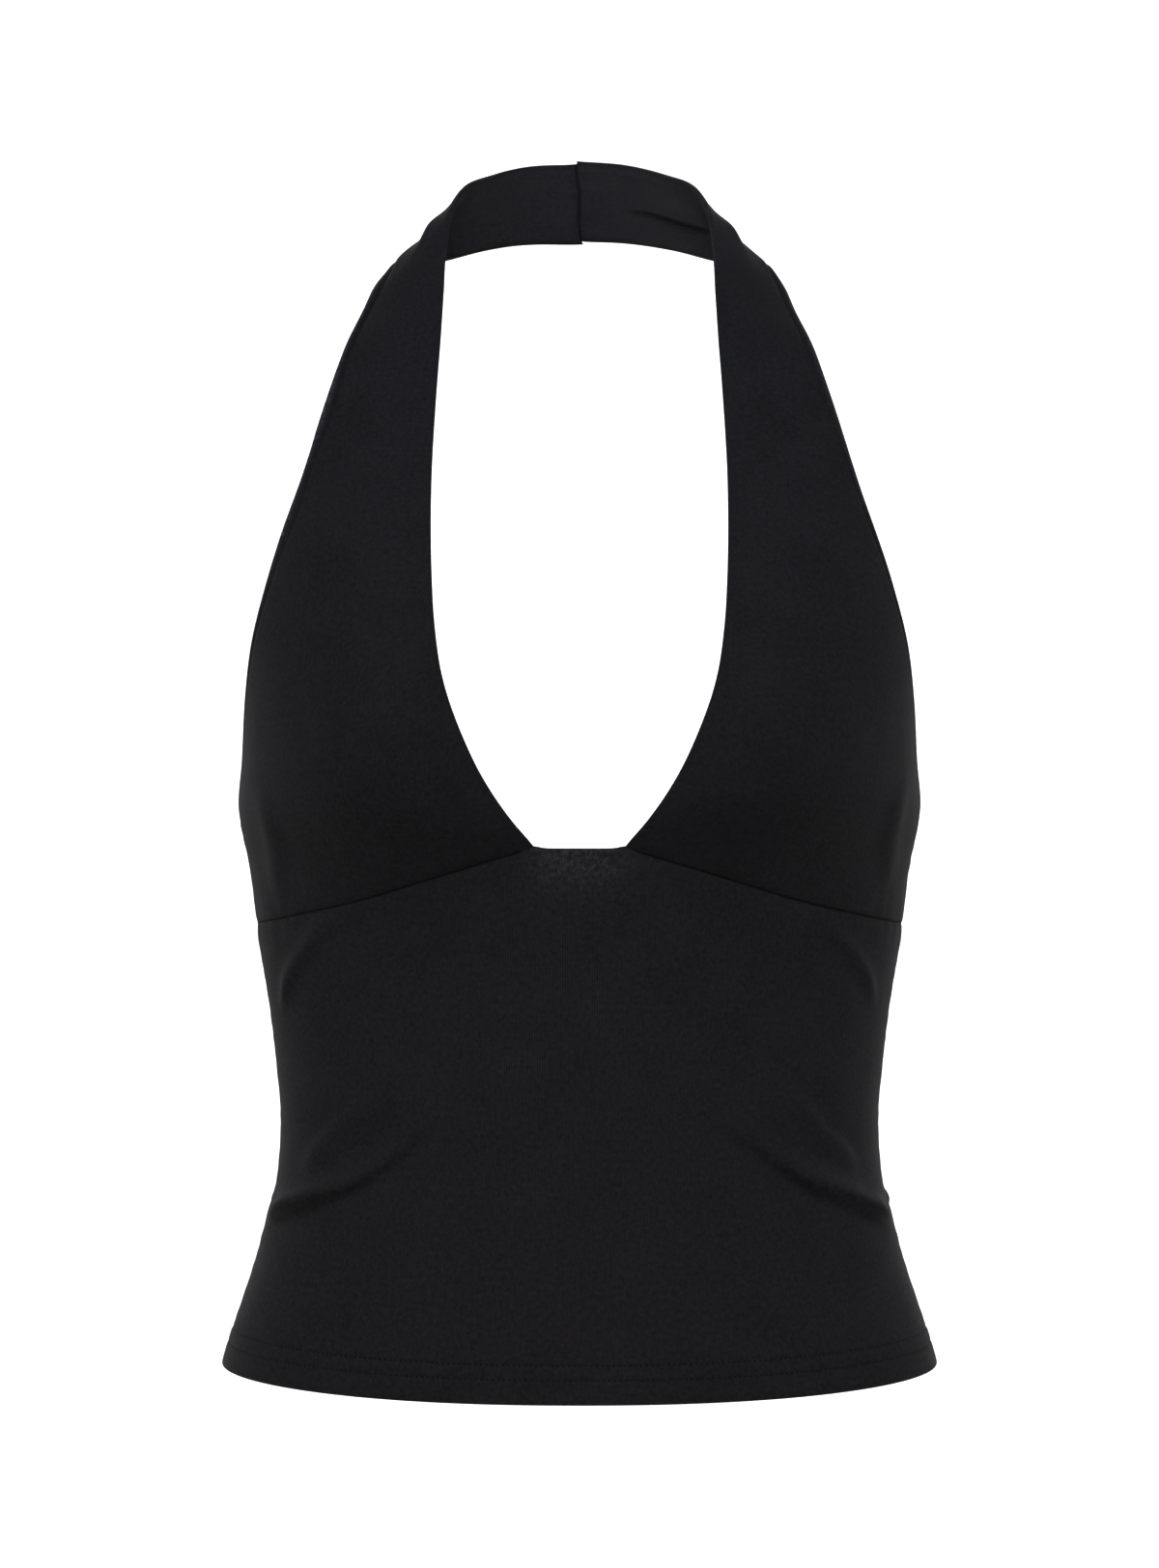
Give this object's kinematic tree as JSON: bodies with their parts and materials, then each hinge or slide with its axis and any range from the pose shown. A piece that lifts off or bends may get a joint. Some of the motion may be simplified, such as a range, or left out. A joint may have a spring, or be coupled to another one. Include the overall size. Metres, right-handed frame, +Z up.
{
  "type": "halter neck top",
  "caption": "Hollow worn-form halter neck top in soft black jersey: plunging neckline, wide straps meeting behind the neck, shaped bust panels and a turned hem.",
  "frame": {"origin": "on the inner face of the neckband at the centre-back seam, where the wearer's neck holds the top up", "axes": "+Z up, the front faces -Y, +X is on the viewer's right as the front is seen"},
  "size_m": [0.3108, 0.2241, 0.5384],
  "materials": {
    "body_jersey": "soft matt fine jersey, one layer, turned and coverstitched hem",
    "bust_jersey": "soft matt fine jersey, self-lined and turned out along its edges"
  },
  "bodies": {
    "root": {"front_body": "body_jersey", "back_body": "body_jersey", "bust_panel_right": "bust_jersey", "bust_panel_left": "bust_jersey"}
  },
  "joints": []
}
